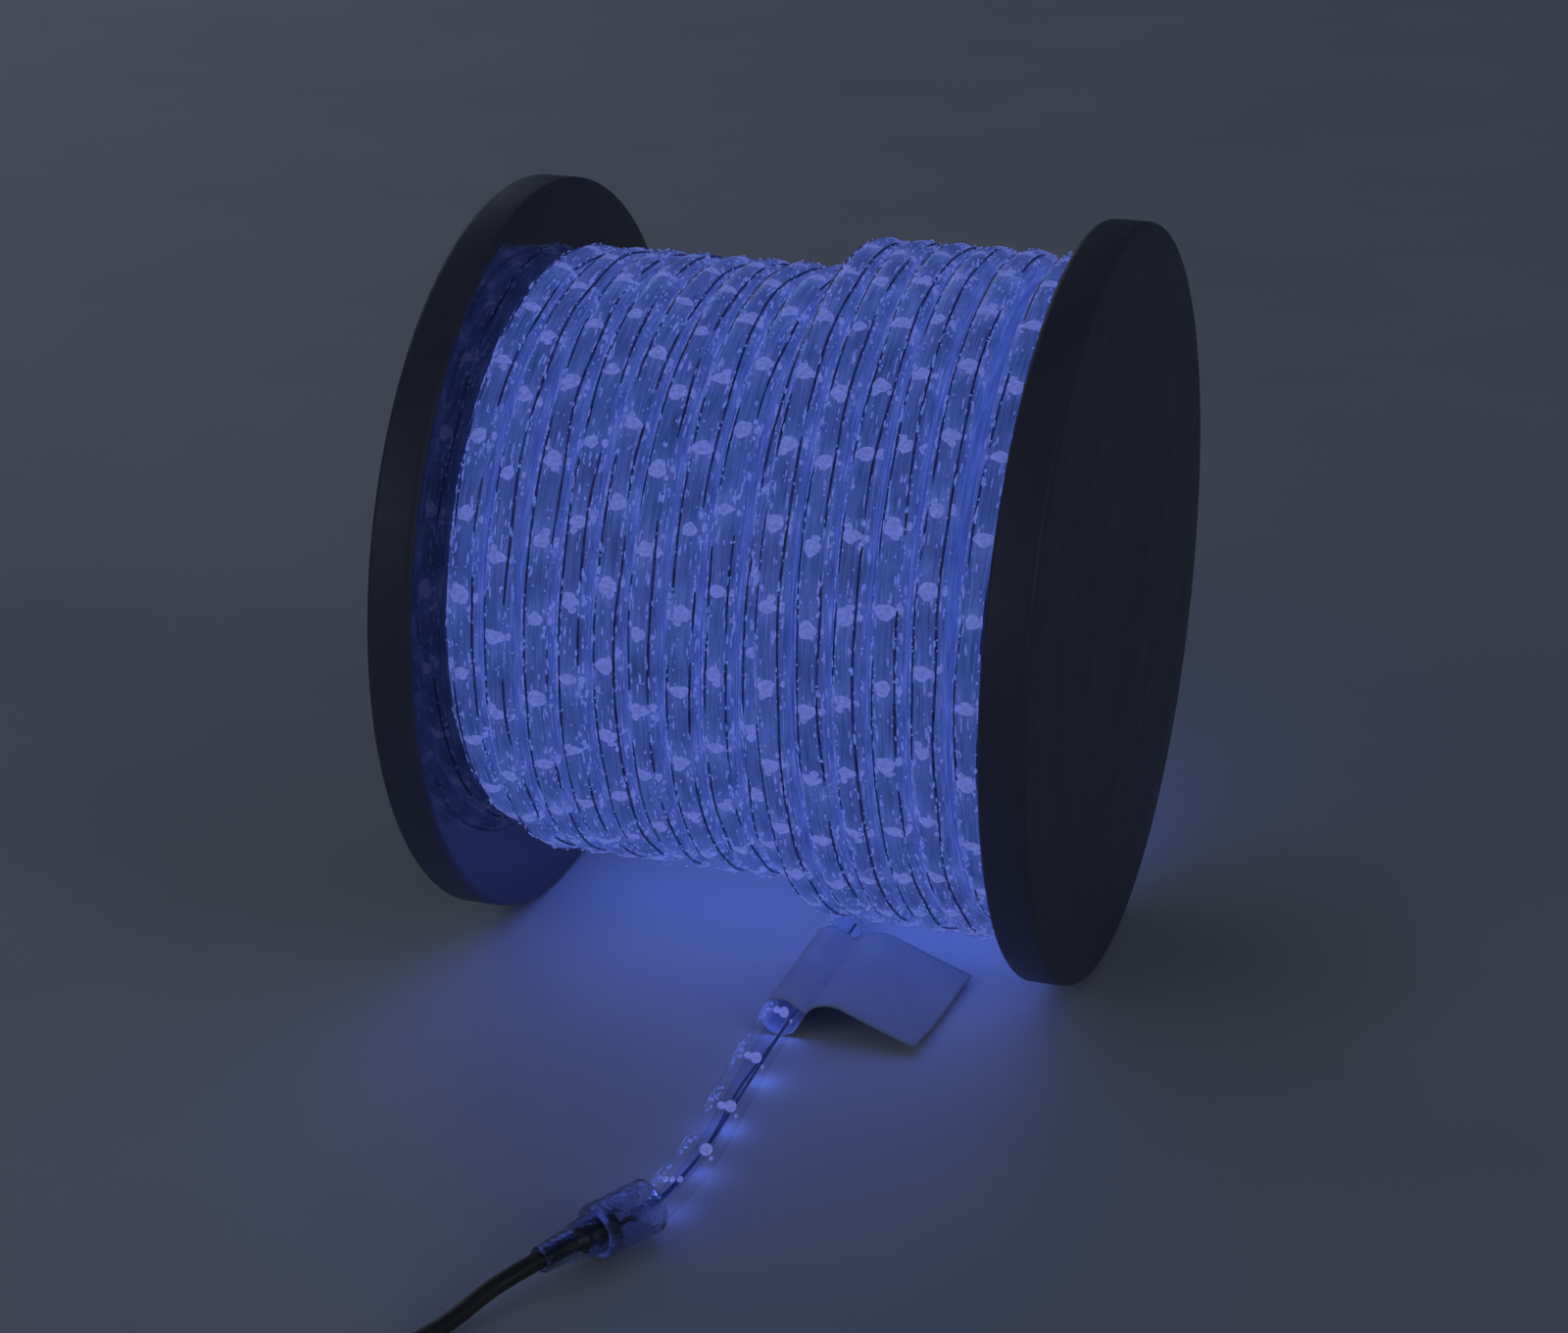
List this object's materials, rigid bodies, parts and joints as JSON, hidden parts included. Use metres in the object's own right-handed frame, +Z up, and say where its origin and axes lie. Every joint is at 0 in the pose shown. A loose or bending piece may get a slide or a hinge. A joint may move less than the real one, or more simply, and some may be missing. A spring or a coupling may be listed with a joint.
{
  "type": "led rope light",
  "caption": "Spool of round clear rope light, lit blue, wound in even turns between round flanges, with a loose end, blank flag tag, clear connector and power cord with plug.",
  "frame": {"origin": "on the floor, under the middle of the spool's axis, at the middle of the spool's width", "axes": "+X along the spool's axis towards the flange beside the higher part of the winding, -Y towards the loose end, +Z up"},
  "size_m": [0.2226, 0.5643, 0.262],
  "materials": {
    "flange_plastic": "black moulded plastic, smooth and a little glossy on its inner face",
    "core_plastic": "plain",
    "lit_rope": "clear soft vinyl lit blue from inside by rows of small lamps",
    "tag_vinyl": "blank white vinyl film",
    "clear_vinyl": "clear glossy vinyl",
    "contact_brass": "bright",
    "cord_vinyl": "dark brown vinyl jacket",
    "plug_vinyl": "dark brown moulded vinyl",
    "tie_plastic": "black"
  },
  "bodies": {
    "root": {"left_flange": "flange_plastic", "right_flange": "flange_plastic", "spool_core": "core_plastic", "rope_winding": "lit_rope", "rope_tail": "lit_rope", "blank_tag": "tag_vinyl", "connector_collar": "clear_vinyl", "contact_pin_1": "contact_brass", "contact_pin_2": "contact_brass", "cord_ferrule": "cord_vinyl", "shrink_sleeve": "clear_vinyl", "power_cord": "cord_vinyl", "cord_coil": "cord_vinyl", "coil_tie": "tie_plastic", "plug_cord": "cord_vinyl", "plug_strain_relief": "plug_vinyl", "plug_body": "plug_vinyl", "plug_blade_1": "contact_brass", "plug_blade_2": "contact_brass"}
  },
  "joints": []
}
